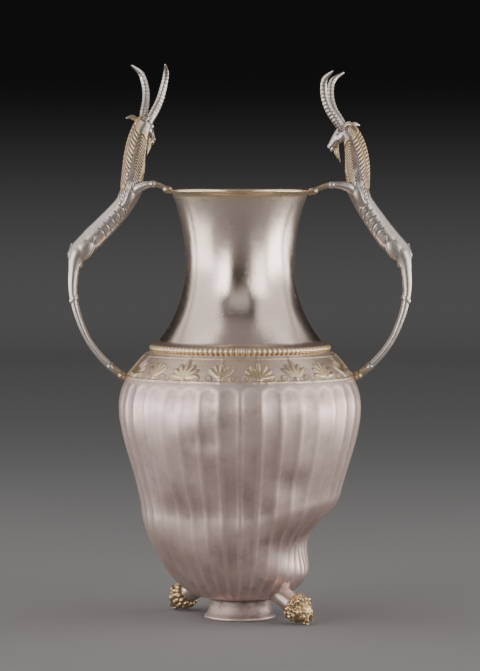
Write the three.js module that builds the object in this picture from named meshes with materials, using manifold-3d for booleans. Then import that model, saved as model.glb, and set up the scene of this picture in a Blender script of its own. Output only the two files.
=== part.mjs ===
// An amphora rhyton: a hollow silver wine vessel with a fluted egg-shaped body, a plain
// flaring neck, two cast handles in the form of rearing ibexes and two gilded lion-head
// spouts low on the body. Millimetres, +Z up, origin at the centre of the base's underside.
// The handles stand on the X axis, and the side seen first faces -Y.
import * as THREE from "three";
import { mergeVertices } from "three/addons/utils/BufferGeometryUtils.js";
import Module from "manifold-3d";

const wasm = await Module();
wasm.setup();

// Vessel outline, from the floor up
const FOOT_RADIUS = 22.5;
const FOOT_WAIST = 19;
const FOOT_HEIGHT = 13;
const FOOT_EDGE = 1.6;
const HEEL_RADIUS = 37;
const HEEL_HEIGHT = 20;
const LOWER_RADIUS = 62;
const LOWER_HEIGHT = 68;
const BELLY_RADIUS = 76.3;
const BELLY_HEIGHT = 134;
const COLLAR_RADIUS = 56;
const COLLAR_HEIGHT = 170;
const COLLAR_BEAD = 2.4;
const NECK_RADIUS = 34.3;
const NECK_HEIGHT = 224;
const RIM_RADIUS = 44.5;
const RIM_HEIGHT = 271;
const LIP_HEIGHT = 2.6;
const LIP_OVERHANG = 1.6;

// Wall and carving
const WALL = 1.6;
const BASE_WALL = 2;
const FLUTE_COUNT = 36;
const FLUTE_DEPTH = 0.7;
const FRIEZE_MARGIN = 3;
const FRIEZE_HEIGHT = 14;
const FRIEZE_RELIEF = 0.7;
const TONGUES_PER_FLUTE = 0.5;

// Old damage, each a push into the wall: where it is, how far it reaches, how deep it goes
const DENTS = [
  { azimuth: -14, height: 51, width: 88, above: 27, below: 29, depth: 16 },
  { azimuth: -124, height: 66, width: 26, above: 28, below: 30, depth: 3.2 },
];

// Spouts
const SPOUT_AZIMUTH = -40;
const SPOUT_RADIUS = 49;
const SPOUT_HEIGHT = 8.8;
const SPOUT_PITCH = 28;
const SPOUT_BORE = 1.6;
const SPOUT_NECK = 6;
const LION_HEAD_RADIUS = 8;
const LION_MANE_RADIUS = 9.4;

// Handles
const HOOF_HEIGHT = 153;
const FOREHOOF_DROP = 1.8;
const LEG_SPREAD = 6;
// How each figure is bent: its head's turn towards the front in degrees, and the shares by which
// its upper body leans in and its head is raised.
const RIGHT_POSE = { headTurn: 18, lean: 0.05, lift: -0.02 };
const LEFT_POSE = { headTurn: 60, lean: 0.23, lift: 0.03 };

// Gap between soldered pieces, and how finely round forms are divided
const SEAT_GAP = 0.3;
const NECK_SIDES = 30;
const CAVITY_SIDES = 26;
const LOWER_RINGS = 5;
const BELLY_RINGS = 4;
const OVERSHOOT = 6;

const radians = THREE.MathUtils.degToRad;
const { lerp, smoothstep } = THREE.MathUtils;

const silver = new THREE.MeshStandardMaterial({ color: 0xb9b0ac, roughness: 0.36, metalness: 1 });
const castSilver = new THREE.MeshStandardMaterial({ color: 0xb4ada4, roughness: 0.32, metalness: 1 });
const gilding = new THREE.MeshStandardMaterial({ color: 0xb98a3e, roughness: 0.34, metalness: 1 });

// A closed geometry as a solid that can be joined and cut.
function solidOf(geometry) {
  const bare = geometry.index ? geometry.toNonIndexed() : geometry.clone();
  for (const name of Object.keys(bare.attributes)) {
    if (name !== "position") bare.deleteAttribute(name);
  }
  const merged = mergeVertices(bare, 1e-3);
  return new wasm.Manifold(new wasm.Mesh({
    numProp: 3,
    vertProperties: new Float32Array(merged.attributes.position.array),
    triVerts: new Uint32Array(merged.index.array),
  }));
}

function geometryOf(solid) {
  const { vertProperties, triVerts } = solid.getMesh();
  const geometry = new THREE.BufferGeometry();
  geometry.setAttribute("position", new THREE.BufferAttribute(vertProperties, 3));
  geometry.setIndex(new THREE.BufferAttribute(triVerts, 1));
  geometry.computeVertexNormals();
  return geometry;
}

function joined(geometries) {
  return geometries.map(solidOf).reduce((whole, piece) => whole.add(piece));
}

// A curve between two points of the outline. Its two handles lie at shares of the way from the
// first point to the last, along the radius and along the height.
function sweep(from, to, first, second) {
  const at = ([across, up]) => new THREE.Vector2(lerp(from.x, to.x, across), lerp(from.y, to.y, up));
  return new THREE.CubicBezierCurve(from, at(first), at(second), to);
}

const footEdge = new THREE.Vector2(FOOT_RADIUS, FOOT_EDGE);
const footTop = new THREE.Vector2(FOOT_WAIST, FOOT_HEIGHT);
const heel = new THREE.Vector2(HEEL_RADIUS, HEEL_HEIGHT);
const flank = new THREE.Vector2(LOWER_RADIUS, LOWER_HEIGHT);
const belly = new THREE.Vector2(BELLY_RADIUS, BELLY_HEIGHT);
const collar = new THREE.Vector2(COLLAR_RADIUS, COLLAR_HEIGHT);
const throat = new THREE.Vector2(NECK_RADIUS, NECK_HEIGHT);
const lip = new THREE.Vector2(RIM_RADIUS - LIP_OVERHANG, RIM_HEIGHT - LIP_HEIGHT);

const footSide = sweep(footEdge, footTop, [0.55, 0.1], [1, 0.5]);
const underside = sweep(footTop, heel, [0.45, 0.08], [0.78, 0.5]);
const lowerSide = sweep(heel, flank, [0.36, 0.167], [0.96, 0.625]);
const bellySide = sweep(flank, belly, [0.07, 0.27], [1, 0.667]);
const shoulder = sweep(belly, collar, [0, 0.47], [0.54, 0.76]);
const neckFall = sweep(collar, throat, [0.7, 0.3], [1, 0.62]);
const lipRise = sweep(throat, lip, [0, 0.4], [0.5, 0.78]);

// Points along a curve, each moved out from the wall's outer face by offset.
function offsetPoints(curve, steps, offset) {
  const points = [];
  for (let i = 0; i <= steps; i++) {
    const along = curve.getTangent(i / steps);
    const out = new THREE.Vector2(along.y, -along.x).multiplyScalar(offset);
    points.push(curve.getPoint(i / steps).add(out));
  }
  return points;
}

// The radius of the wall's outer face at a height.
function outerRadiusAt(height) {
  const curves = [footSide, underside, lowerSide, bellySide, shoulder, neckFall];
  const curve = curves.find((part) => part.getPoint(1).y >= height) ?? lipRise;
  let low = 0;
  let high = 1;
  for (let i = 0; i < 30; i++) {
    const middle = (low + high) / 2;
    if (curve.getPoint(middle).y < height) low = middle;
    else high = middle;
  }
  return curve.getPoint(low).x;
}

// How far the wall is pushed in at an azimuth in degrees and a height.
function dentDepth(azimuth, height) {
  let depth = 0;
  for (const dent of DENTS) {
    const turn = THREE.MathUtils.euclideanModulo(azimuth - dent.azimuth + 180, 360) - 180;
    const rise = height - dent.height;
    const share = Math.hypot(turn / dent.width, rise / (rise > 0 ? dent.above : dent.below));
    if (share < 1) depth += (dent.depth * (1 + Math.cos(Math.PI * share))) / 2;
  }
  return depth;
}

const friezeTop = COLLAR_HEIGHT - FRIEZE_MARGIN;
const friezeBottom = friezeTop - FRIEZE_HEIGHT;
const fluteTop = friezeBottom - FRIEZE_MARGIN;

// How far carving moves the outer face: flutes sink below it and the frieze's tongues stand out.
function carving(azimuth, height) {
  const flute = (1 - Math.cos(radians(azimuth) * FLUTE_COUNT)) / 2;
  const start = smoothstep(height, FOOT_HEIGHT, HEEL_HEIGHT);
  const end = 1 - smoothstep(height, fluteTop - FRIEZE_MARGIN, fluteTop);
  const tongue = (1 + Math.cos(radians(azimuth) * FLUTE_COUNT * TONGUES_PER_FLUTE)) / 2;
  const middle = (height - friezeBottom) / FRIEZE_HEIGHT;
  const swell = middle > 0 && middle < 1 ? Math.sin(Math.PI * middle) : 0;
  return tongue * swell * FRIEZE_RELIEF - flute * start * end * FLUTE_DEPTH;
}

// Turns an outline about Z, then moves each point in or out by what move(azimuth, height) says.
function turned(outline, sides, move) {
  const geometry = new THREE.LatheGeometry(outline, sides).rotateX(Math.PI / 2);
  const place = geometry.attributes.position;
  for (let i = 0; i < place.count; i++) {
    const x = place.getX(i);
    const y = place.getY(i);
    const radius = Math.hypot(x, y);
    if (radius < FOOT_WAIST / 2) continue;
    const azimuth = THREE.MathUtils.radToDeg(Math.atan2(y, x));
    const share = (radius + move(azimuth, place.getZ(i))) / radius;
    place.setXY(i, x * share, y * share);
  }
  return geometry;
}

// Heights of the rings that the shoulder is divided at, so that the frieze's edges are among them.
function shoulderPoints(offset) {
  const heights = [0.5, 0].map((share) => lerp(BELLY_HEIGHT, fluteTop, 1 - share));
  heights.push(friezeBottom, friezeBottom + FRIEZE_HEIGHT / 2, friezeTop, COLLAR_HEIGHT);
  return heights.map((height) => new THREE.Vector2(outerRadiusAt(height) + offset, height));
}

// The body from inside the foot to the collar, closed flat at both ends.
function bodyOutline(offset) {
  const side = [
    ...offsetPoints(underside, 2, offset),
    ...offsetPoints(lowerSide, LOWER_RINGS, offset).slice(1),
    ...offsetPoints(bellySide, BELLY_RINGS, offset).slice(1),
    ...shoulderPoints(offset),
  ];
  return [new THREE.Vector2(0, side[0].y), ...side, new THREE.Vector2(0, COLLAR_HEIGHT)];
}

function footOutline(offset) {
  return [
    new THREE.Vector2(0, 0),
    new THREE.Vector2(FOOT_RADIUS + offset, 0),
    ...offsetPoints(footSide, 3, offset),
    new THREE.Vector2(FOOT_WAIST, HEEL_HEIGHT),
    new THREE.Vector2(0, HEEL_HEIGHT),
  ];
}

// The collar's bead, the neck and the lip, begun inside the body so that they join it.
function neckOutline(offset) {
  const bead = [];
  for (let i = 0; i <= 3; i++) {
    const angle = lerp(-0.45, 0.5, i / 3) * Math.PI;
    const reach = COLLAR_BEAD + offset;
    bead.push(new THREE.Vector2(
      COLLAR_RADIUS - COLLAR_BEAD / 2 + reach * Math.cos(angle),
      COLLAR_HEIGHT + COLLAR_BEAD / 2 + reach * Math.sin(angle),
    ));
  }
  const lipRadius = RIM_RADIUS + offset;
  return [
    new THREE.Vector2(0, COLLAR_HEIGHT - OVERSHOOT),
    new THREE.Vector2(NECK_RADIUS, COLLAR_HEIGHT - OVERSHOOT),
    ...bead,
    ...offsetPoints(neckFall, 5, offset).slice(1),
    ...offsetPoints(lipRise, 3, offset).slice(1),
    new THREE.Vector2(lipRadius, RIM_HEIGHT - LIP_HEIGHT / 2 - offset),
    new THREE.Vector2(lipRadius, RIM_HEIGHT - LIP_HEIGHT / 4),
    new THREE.Vector2(RIM_RADIUS - LIP_OVERHANG / 3, RIM_HEIGHT + offset),
    new THREE.Vector2(0, RIM_HEIGHT + offset),
  ];
}

// The inside follows the wall ring by ring where the wall is dented, and more loosely elsewhere.
function cavityOutline() {
  const divided = [[footSide, 1], [underside, 1], [lowerSide, LOWER_RINGS], [bellySide, BELLY_RINGS],
    [shoulder, 3], [neckFall, 4], [lipRise, 3]];
  const side = divided.flatMap(([curve, steps]) => offsetPoints(curve, steps, -WALL).slice(1));
  const mouth = side[side.length - 1];
  return [
    new THREE.Vector2(0, BASE_WALL),
    new THREE.Vector2(side[0].x, BASE_WALL),
    ...side,
    new THREE.Vector2(mouth.x, RIM_HEIGHT + OVERSHOOT),
    new THREE.Vector2(0, RIM_HEIGHT + OVERSHOOT),
  ];
}

// The vessel's outside as a filled solid, swollen by offset.
function vesselOutside(offset) {
  const worked = (azimuth, height) => carving(azimuth, height) - dentDepth(azimuth, height);
  const body = turned(bodyOutline(offset), 2 * FLUTE_COUNT, worked);
  const foot = new THREE.LatheGeometry(footOutline(offset), NECK_SIDES).rotateX(Math.PI / 2);
  const neck = new THREE.LatheGeometry(neckOutline(offset), NECK_SIDES).rotateX(Math.PI / 2);
  return joined([foot, body, neck]);
}

// Turns a shape made along +X to a spout's slope, and puts it at the spout's place.
function atSpout(geometry, azimuth) {
  geometry.rotateY(radians(SPOUT_PITCH)).translate(SPOUT_RADIUS, 0, SPOUT_HEIGHT);
  return geometry.rotateZ(radians(azimuth));
}

// A round rod along the spout, from behind the lion's head to before it.
function spoutRod(behind, before, rear, front, sides, azimuth) {
  const length = behind + before;
  const rod = new THREE.CylinderGeometry(front, rear, length, sides).rotateZ(-Math.PI / 2);
  return atSpout(rod.translate((before - behind) / 2, 0, 0), azimuth);
}

// A spout's channel, from inside the vessel out through the lion's mouth.
function spoutBore(azimuth) {
  const behind = SPOUT_RADIUS - FOOT_WAIST - LION_HEAD_RADIUS;
  return solidOf(spoutRod(behind, 2 * LION_HEAD_RADIUS, SPOUT_BORE, SPOUT_BORE, 8, azimuth));
}

function vesselGeometry() {
  const dented = (azimuth, height) => -dentDepth(azimuth, height);
  const cavity = solidOf(turned(cavityOutline(), CAVITY_SIDES, dented));
  const shell = vesselOutside(0).subtract(cavity);
  const open = shell.subtract(spoutBore(SPOUT_AZIMUTH)).subtract(spoutBore(SPOUT_AZIMUTH + 180));
  return geometryOf(open);
}

// An egg-shaped lump: a sphere with its own radii, pitched in the XZ plane, then placed.
function lump(centre, radii, pitch = 0, sides = 6) {
  const ball = new THREE.SphereGeometry(1, sides, Math.max(4, sides - 3));
  return ball.scale(...radii).rotateY(radians(pitch)).translate(...centre);
}

// A lion's head looking along +X, its forms as shares of its radius, with a ruff of mane
// behind it and a neck that runs back into the vessel's wall.
function lionHead(azimuth) {
  const R = LION_HEAD_RADIUS;
  const share = (list) => list.map((value) => value * R);
  const pieces = [
    lump([0, 0, 0], share([1, 0.92, 0.95]), 0, 8),
    lump(share([0.78, 0, -0.16]), share([0.58, 0.56, 0.5])),
    lump(share([0.46, 0, 0.5]), share([0.62, 0.32, 0.3]), 28),
  ];
  for (const side of [-1, 1]) {
    pieces.push(lump(share([-0.25, side * 0.78, 0.72]), share([0.22, 0.32, 0.32])));
    pieces.push(lump(share([0.6, side * 0.44, -0.06]), share([0.42, 0.34, 0.38])));
  }
  const mane = [
    new THREE.Vector2(0, 0),
    new THREE.Vector2(LION_MANE_RADIUS * 0.74, 0),
    new THREE.Vector2(LION_MANE_RADIUS, R * 0.36),
    new THREE.Vector2(LION_MANE_RADIUS * 0.82, R * 0.8),
    new THREE.Vector2(0, R * 0.86),
  ];
  const ruff = new THREE.LatheGeometry(mane, 10).rotateX(Math.PI / 2).rotateY(Math.PI / 2);
  pieces.push(ruff.translate(-R * 0.95, 0, 0));
  const placed = pieces.map((piece) => atSpout(piece, azimuth));
  placed.push(spoutRod(SPOUT_RADIUS - FOOT_WAIST, 0, SPOUT_NECK * 1.2, SPOUT_NECK, 8, azimuth));
  return placed;
}

function spoutGeometry(azimuth, outside) {
  return geometryOf(joined(lionHead(azimuth)).subtract(outside).subtract(spoutBore(azimuth)));
}

// The ibex stands between its hooves: share [out, across, up] of the span from the hind
// hooves on the shoulder to the forehooves at the rim, out from the vessel and up along the span.
const hindHoof = new THREE.Vector2(outerRadiusAt(HOOF_HEIGHT), HOOF_HEIGHT);
const foreHoof = new THREE.Vector2(RIM_RADIUS, RIM_HEIGHT - FOREHOOF_DROP);
const spanLine = foreHoof.clone().sub(hindHoof);
const SPAN = spanLine.length();
const spanUp = spanLine.clone().divideScalar(SPAN);

function onFigure([out, across, up]) {
  return new THREE.Vector3(
    hindHoof.x + SPAN * (up * spanUp.x + out * spanUp.y),
    SPAN * across,
    hindHoof.y + SPAN * (up * spanUp.y - out * spanUp.x),
  );
}

// A limb along a smooth line of points, its section an ellipse whose half thickness and
// half width follow the lists in thick, both as shares of the span.
function limb(points, thick, sides, steps) {
  const line = new THREE.CatmullRomCurve3(points, false, "centripetal");
  const geometry = new THREE.CylinderGeometry(1, 1, 1, sides, steps);
  const place = geometry.attributes.position;
  const corner = new THREE.Vector3();
  for (let i = 0; i < place.count; i++) {
    corner.fromBufferAttribute(place, i);
    const share = THREE.MathUtils.clamp(corner.y + 0.5, 0, 1);
    const along = line.getTangent(share);
    const across = new THREE.Vector3(0, 1, 0).addScaledVector(along, -along.y).normalize();
    const over = new THREE.Vector3().crossVectors(along, across);
    const at = share * (thick.length - 1);
    const before = thick[Math.floor(at)];
    const after = thick[Math.ceil(at)];
    const half = lerp(before[0], after[0], at % 1) * SPAN;
    const wide = lerp(before[1], after[1], at % 1) * SPAN;
    const middle = line.getPoint(share);
    middle.addScaledVector(over, corner.x * half).addScaledVector(across, corner.z * wide);
    place.setXYZ(i, middle.x, middle.y, middle.z);
  }
  return geometry;
}

// The head, its ears and horns turn together about an upright line through the neck's top.
const NECK_TOP = [0.272, 0, 1.27];

// Where a figure's lean and the raising of its head begin and are whole, as shares up the span.
const LEAN_SPAN = [0.62, 0.97];
const LIFT_SPAN = [0.9, 1.3];

function bent([out, across, up], pose) {
  const lean = pose.lean * smoothstep(up, ...LEAN_SPAN);
  return [out * (1 - lean), across, up + pose.lift * smoothstep(up, ...LIFT_SPAN)];
}

function turnedHead(points, pose) {
  const top = bent(NECK_TOP, pose);
  const pivot = onFigure(top);
  const axis = new THREE.Vector3(0, 0, 1);
  return points.map(([out, across, up]) => {
    const moved = onFigure([out + top[0] - NECK_TOP[0], across, up + top[2] - NECK_TOP[2]]);
    return moved.sub(pivot).applyAxisAngle(axis, -radians(pose.headTurn)).add(pivot);
  });
}

function ibexGeometry(pose, outside) {
  const pieces = [];
  const placed = (list) => list.map((point) => onFigure(bent(point, pose)));
  const onHead = (list) => turnedHead(list, pose);
  const torso = placed([[0.376, 0, 0.5], [0.4, 0, 0.56], [0.345, 0, 0.67], [0.303, 0, 0.78],
    [0.268, 0, 0.89], [0.252, 0, 0.975], [0.24, 0, 1.01]]);
  pieces.push(limb(torso, [[0.018, 0.02], [0.054, 0.05], [0.06, 0.05], [0.056, 0.046], [0.052, 0.047],
    [0.058, 0.05], [0.03, 0.03]], 7, 8));
  const neck = placed([[0.255, 0, 0.93], [0.264, 0, 0.98], [0.272, 0, 1.06], [0.286, 0, 1.15],
    [0.284, 0, 1.235], [0.262, 0, 1.3]]);
  pieces.push(limb(neck, [[0.045, 0.042], [0.058, 0.048], [0.062, 0.042], [0.056, 0.037],
    [0.046, 0.033], [0.034, 0.03]], 7, 5));
  const head = onHead([[0.289, 0, 1.318], [0.264, 0, 1.305], [0.225, 0, 1.275], [0.18, 0, 1.24],
    [0.16, 0, 1.224]]);
  pieces.push(limb(head, [[0.016, 0.018], [0.038, 0.034], [0.035, 0.029], [0.024, 0.021],
    [0.013, 0.014]], 7, 5));
  const beard = onHead([[0.203, 0, 1.25], [0.191, 0, 1.187], [0.2, 0, 1.135]]);
  pieces.push(limb(beard, [[0.013, 0.01], [0.015, 0.01], [0.004, 0.004]], 5, 2));
  const tail = placed([[0.396, 0, 0.55], [0.436, 0, 0.575], [0.442, 0, 0.62]]);
  pieces.push(limb(tail, [[0.016, 0.014], [0.014, 0.012], [0.005, 0.005]], 5, 2));
  const spread = LEG_SPREAD / SPAN;
  for (const side of [-1, 1]) {
    const hindLeg = placed([[0.333, side * 0.024, 0.67], [0.395, side * 0.03, 0.575],
      [0.4, side * 0.034, 0.49], [0.366, side * 0.038, 0.335], [0.244, side * 0.045, 0.141],
      [0.1, side * spread, 0.03], [-0.02, side * spread, -0.02]]);
    pieces.push(limb(hindLeg, [[0.03, 0.02], [0.044, 0.026], [0.028, 0.02], [0.019, 0.016],
      [0.016, 0.015], [0.017, 0.017], [0.025, 0.023]], 6, 8));
    const foreleg = placed([[0.25, side * 0.022, 0.93], [0.21, side * 0.036, 0.98],
      [0.12, side * spread, 1.015], [0.05, side * spread, 1.012], [-0.02, side * spread, 1]]);
    pieces.push(limb(foreleg, [[0.03, 0.018], [0.026, 0.02], [0.016, 0.015], [0.015, 0.014],
      [0.019, 0.018]], 5, 5));
    const horn = onHead([[0.255, side * 0.016, 1.3], [0.234, side * 0.03, 1.355],
      [0.21, side * 0.042, 1.425], [0.207, side * 0.055, 1.5], [0.232, side * 0.078, 1.573],
      [0.295, side * 0.105, 1.605]]);
    pieces.push(limb(horn, [[0.023, 0.02], [0.024, 0.02], [0.022, 0.019], [0.02, 0.018],
      [0.016, 0.015], [0.006, 0.006]], 5, 7));
    const ear = onHead([[0.262, side * 0.006, 1.288], [0.3, side * 0.055, 1.318],
      [0.325, side * 0.08, 1.308]]);
    pieces.push(limb(ear, [[0.016, 0.014], [0.015, 0.008], [0.004, 0.004]], 5, 2));
  }
  return geometryOf(joined(pieces).subtract(outside));
}

function named(name, geometry, material) {
  const mesh = new THREE.Mesh(geometry, material);
  mesh.name = name;
  return mesh;
}

function rhyton() {
  const object = new THREE.Group();
  const seat = vesselOutside(SEAT_GAP);
  object.add(named("vessel", vesselGeometry(), silver));
  object.add(named("spout_right", spoutGeometry(SPOUT_AZIMUTH, seat), gilding));
  object.add(named("spout_left", spoutGeometry(SPOUT_AZIMUTH + 180, seat), gilding));
  object.add(named("handle_right", ibexGeometry(RIGHT_POSE, seat), castSilver));
  const left = named("handle_left", ibexGeometry(LEFT_POSE, seat), castSilver);
  left.scale.x = -1;
  object.add(left);
  return object;
}

export default rhyton();
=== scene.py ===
"""Dresses an amphora rhyton: a fluted silver wine vessel with ibex handles and gilded lion-head spouts."""

import logging
import math
from collections.abc import Callable, Sequence
from dataclasses import dataclass
from enum import Enum

import bmesh
import bpy
import numpy as np
from mathutils import Matrix, Vector
from mathutils.bvhtree import BVHTree


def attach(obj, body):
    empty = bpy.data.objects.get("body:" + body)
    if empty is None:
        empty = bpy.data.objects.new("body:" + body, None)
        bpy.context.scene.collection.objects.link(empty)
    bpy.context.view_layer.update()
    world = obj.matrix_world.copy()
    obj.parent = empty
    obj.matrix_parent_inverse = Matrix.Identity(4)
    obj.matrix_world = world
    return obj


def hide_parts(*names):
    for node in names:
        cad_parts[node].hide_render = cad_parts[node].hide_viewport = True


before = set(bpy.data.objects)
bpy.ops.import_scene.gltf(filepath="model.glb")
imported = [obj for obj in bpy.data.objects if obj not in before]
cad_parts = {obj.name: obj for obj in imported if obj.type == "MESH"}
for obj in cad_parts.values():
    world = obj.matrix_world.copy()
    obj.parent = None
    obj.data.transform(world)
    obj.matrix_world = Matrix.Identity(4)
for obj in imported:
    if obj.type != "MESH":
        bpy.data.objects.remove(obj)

MM = 0.001
MERGE = 1e-6

log = logging.getLogger("rhyton")

Share = tuple[float, float]
Place = tuple[float, float, float]


def smooth_step(value: np.ndarray, low: float, high: float) -> np.ndarray:
    """Eases from 0 at low to 1 at high.

    Args:
        value: The numbers to ease.
        low: Where the easing starts.
        high: Where it ends, above or below low.

    Returns:
        Numbers from 0 to 1.
    """
    share = np.clip((value - low) / (high - low), 0.0, 1.0)
    return share * share * (3.0 - 2.0 * share)


def turn_between(azimuth: np.ndarray, centre: float) -> np.ndarray:
    """Gives the signed turn in degrees from centre to azimuth, between -180 and 180."""
    return (azimuth - centre + 180.0) % 360.0 - 180.0


def swell(azimuth: np.ndarray, height: np.ndarray, seed: int, waves: int, size: float) -> np.ndarray:
    """Adds up soft waves over a turned wall, the unevenness that a hammer leaves.

    Args:
        azimuth: Azimuth of each point, in degrees.
        height: Height of each point, in millimetres.
        seed: Chooses the waves.
        waves: How many waves are added up.
        size: Length of the shortest wave, in millimetres, on a wall about 60 mm from the axis.

    Returns:
        A sum of about -1 to 1.
    """
    draw = np.random.default_rng(seed)
    total = np.zeros_like(height)
    most = int(2.0 * math.pi * 60.0 / size)
    for _ in range(waves):
        around = draw.integers(-most, most + 1)
        up = draw.uniform(-1.0, 1.0) * 2.0 * math.pi / size
        total += np.sin(np.radians(azimuth) * around + height * up + draw.uniform(0.0, 2.0 * math.pi))
    return total / math.sqrt(waves) * 0.7


def mesh_of(bm: bmesh.types.BMesh, name: str) -> bpy.types.Mesh:
    """Writes a working mesh to a new mesh and frees it.

    Args:
        bm: The working mesh.
        name: Name of the new mesh.

    Returns:
        The new mesh.
    """
    mesh = bpy.data.meshes.new(name)
    bm.to_mesh(mesh)
    bm.free()
    return mesh


def placed(name: str, data: bpy.types.ID) -> bpy.types.Object:
    """Adds an object to the scene for a mesh, a lamp or a camera.

    Args:
        name: Name of the object.
        data: What it shows.

    Returns:
        The object.
    """
    added = bpy.data.objects.new(name, data)
    bpy.context.scene.collection.objects.link(added)
    return added


def turned(bm: bmesh.types.BMesh, chain: Sequence[bmesh.types.BMVert], steps: int) -> None:
    """Turns a chain of points about Z into a skin.

    Args:
        bm: The working mesh that holds the points.
        chain: The points, one after another.
        steps: Steps of the full turn.
    """
    edges = [bm.edges.new(pair) for pair in zip(chain, chain[1:])]
    bmesh.ops.spin(bm, geom=[*chain, *edges], cent=(0, 0, 0), axis=(0, 0, 1), dvec=(0, 0, 0),
                   angle=2.0 * math.pi, steps=steps, use_merge=True)
    bmesh.ops.remove_doubles(bm, verts=bm.verts, dist=MERGE)


class Metal(Enum):
    """The metals that a piece shows."""

    SILVER = "silver"
    CAST_SILVER = "cast_silver"
    GILDING = "gilding"


class Blend(Enum):
    """What a mixing node mixes: its kind, its first input and its output."""

    NUMBER = ("FLOAT", 2, 0)
    COLOUR = ("RGBA", 6, 2)


@dataclass(frozen=True)
class Finish:
    """A worn metal whose gilding, polish, tarnish and painted shade follow the mesh's own attributes.

    Args:
        name: Name of the material.
        satin: Colour of the worked silver.
        polished: Colour of the smooth silver.
        tarnish_and_shade: Colour of the dark film in the hollows, and of the painted shade.
        gold: Colour of the gilding.
        rough: Roughness of the worked silver.
        smooth: Roughness of the smooth silver.
        gold_rough: Roughness of the gilding.
        blot: How dark the scattered blots are.
        grain: Depth of the fine surface marks in metres.
    """

    name: str
    satin: Place = (0.92, 0.72, 0.66)
    polished: Place = (0.97, 0.785, 0.675)
    tarnish_and_shade: Place = (0.24, 0.185, 0.17)
    gold: Place = (0.90, 0.70, 0.42)
    rough: float = 0.43
    smooth: float = 0.22
    gold_rough: float = 0.33
    blot: float = 0.34
    grain: float = 0.00012

    def make(self) -> bpy.types.Material:
        """Builds the material's nodes.

        Returns:
            The material.
        """
        material = bpy.data.materials.new(self.name)
        material.use_nodes = True
        graph = Graph(material.node_tree)
        shader = graph.nodes["Principled BSDF"]
        shader.inputs["Metallic"].default_value = 1.0
        gilt = graph.attribute("gilding")
        polish = graph.attribute("polish")
        # This attribute holds tarnish in the hollows and, on the vessel, painted shade at the foot and on the
        # front patches.
        film = graph.attribute("tarnish_and_shade")
        cloud = graph.noise(28.0, 5.0, 0.62)
        fleck = graph.noise(210.0, 4.0, 0.6)
        stain = graph.noise(62.0, 6.0, 0.68)
        dull, clear = self.shade(0.86, 0.84, 0.80), self.shade(1.06, 1.05, 1.08)
        satin = graph.mix(graph.ramp(cloud, 0.36, 0.66), dull, clear)
        silver = graph.mix(polish, satin, (*self.polished, 1.0))
        worn = graph.math("MULTIPLY", gilt, graph.ramp(fleck, 0.24, 0.42))
        worn = graph.math("MULTIPLY", worn, graph.ramp(stain, 0.28, 0.44))
        metal = graph.mix(worn, silver, (*self.gold, 1.0))
        blot = graph.math("MULTIPLY", graph.ramp(stain, 0.46, 0.74), self.blot)
        loss = graph.math("SUBTRACT", 1.0, graph.math("MULTIPLY", polish, 0.72))
        dark = graph.math("ADD", film, graph.math("MULTIPLY", blot, loss), clamp=True)
        graph.link(graph.mix(dark, metal, (*self.tarnish_and_shade, 1.0)), shader.inputs["Base Color"])
        rough = graph.mix(polish, self.rough, self.smooth, Blend.NUMBER)
        rough = graph.mix(worn, rough, self.gold_rough, Blend.NUMBER)
        rough = graph.math("ADD", rough, graph.math("MULTIPLY", dark, 0.22))
        uneven = graph.math("MULTIPLY", graph.math("SUBTRACT", fleck, 0.5), 0.16)
        rough = graph.math("ADD", rough, uneven, clamp=True)
        graph.link(rough, shader.inputs["Roughness"])
        scratch = graph.math("ADD", graph.noise(900.0, 3.0, 0.5), graph.math("MULTIPLY", cloud, 1.6))
        bump = graph.nodes.new("ShaderNodeBump")
        bump.inputs["Strength"].default_value = 0.5
        bump.inputs["Distance"].default_value = self.grain
        graph.link(scratch, bump.inputs["Height"])
        graph.link(bump.outputs["Normal"], shader.inputs["Normal"])
        return material

    def shade(self, red: float, green: float, blue: float) -> tuple[float, float, float, float]:
        """Gives the worked silver's colour, each channel times a share."""
        return (self.satin[0] * red, self.satin[1] * green, self.satin[2] * blue, 1.0)


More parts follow.
